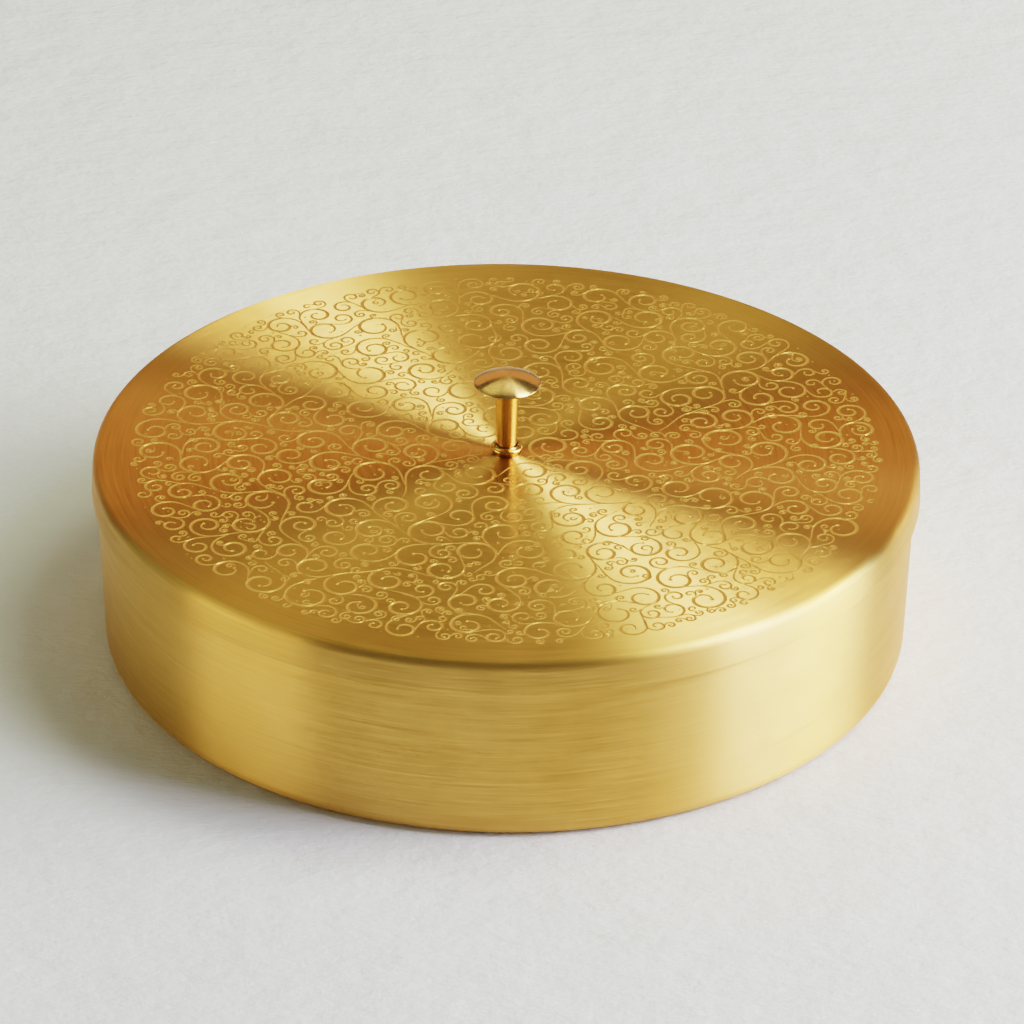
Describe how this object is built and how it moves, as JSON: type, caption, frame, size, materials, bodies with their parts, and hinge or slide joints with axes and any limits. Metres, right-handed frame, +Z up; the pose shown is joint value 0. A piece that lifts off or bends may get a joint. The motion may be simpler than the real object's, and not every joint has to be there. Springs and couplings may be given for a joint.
{
  "type": "spice box",
  "caption": "Shallow round brass spice box with an engraved lift-off lid on a slim knob, loose round spice cups inside and a small spoon.",
  "frame": {"origin": "middle of the underside of the box, on the surface that it stands on", "axes": "+Z up through the knob; -Y is the front, where the middle of the front cup is"},
  "size_m": [0.216, 0.216, 0.0746],
  "materials": {
    "box_brass": "spun brass, fine brushing round the side, lightly toned",
    "lid_brass": "brushed brass with engraved scrolls, lightly toned",
    "knob_brass": "turned and polished brass",
    "collar_brass": "turned brass",
    "cup_brass": "spun brass, satin inside, polished outside",
    "spoon_brass": "pressed brass, polished by use",
    "washer_brass": "plain brass washer",
    "screw_steel": "plated steel screw"
  },
  "bodies": {
    "box": {"box_body": "box_brass"},
    "lid": {"lid": "lid_brass", "knob": "knob_brass", "knob_collar": "collar_brass", "knob_washer": "washer_brass", "knob_screw": "screw_steel"},
    "cup_center": {"cup_center": "cup_brass"},
    "cup_1": {"cup_1": "cup_brass"},
    "cup_2": {"cup_2": "cup_brass"},
    "cup_3": {"cup_3": "cup_brass"},
    "cup_4": {"cup_4": "cup_brass"},
    "cup_5": {"cup_5": "cup_brass"},
    "cup_6": {"cup_6": "cup_brass"},
    "spoon": {"spoon": "spoon_brass"}
  },
  "joints": [
    {"name": "lid_lift", "type": "slide", "parent": "box", "child": "lid", "axis": [0, 0, 1], "range_m": [0, 0.25]},
    {"name": "cup_center_lift", "type": "slide", "parent": "box", "child": "cup_center", "axis": [0, 0, 1], "range_m": [0, 0.09]},
    {"name": "cup_1_lift", "type": "slide", "parent": "box", "child": "cup_1", "axis": [0, 0, 1], "range_m": [0, 0.09]},
    {"name": "cup_2_lift", "type": "slide", "parent": "box", "child": "cup_2", "axis": [0, 0, 1], "range_m": [0, 0.09]},
    {"name": "cup_3_lift", "type": "slide", "parent": "box", "child": "cup_3", "axis": [0, 0, 1], "range_m": [0, 0.09]},
    {"name": "cup_4_lift", "type": "slide", "parent": "box", "child": "cup_4", "axis": [0, 0, 1], "range_m": [0, 0.09]},
    {"name": "cup_5_lift", "type": "slide", "parent": "box", "child": "cup_5", "axis": [0, 0, 1], "range_m": [0, 0.09]},
    {"name": "cup_6_lift", "type": "slide", "parent": "box", "child": "cup_6", "axis": [0, 0, 1], "range_m": [0, 0.09]},
    {"name": "spoon_lift", "type": "slide", "parent": "box", "child": "spoon", "axis": [0, 0, 1], "range_m": [0, 0.15]}
  ],
  "couplings": [
    {"joint": "cup_center_lift", "follows": "lid_lift", "ratio": 0.36},
    {"joint": "cup_1_lift", "follows": "lid_lift", "ratio": 0.36},
    {"joint": "cup_2_lift", "follows": "lid_lift", "ratio": 0.36},
    {"joint": "cup_3_lift", "follows": "lid_lift", "ratio": 0.36},
    {"joint": "cup_4_lift", "follows": "lid_lift", "ratio": 0.36},
    {"joint": "cup_5_lift", "follows": "lid_lift", "ratio": 0.36},
    {"joint": "cup_6_lift", "follows": "lid_lift", "ratio": 0.36},
    {"joint": "spoon_lift", "follows": "lid_lift", "ratio": 0.6}
  ]
}
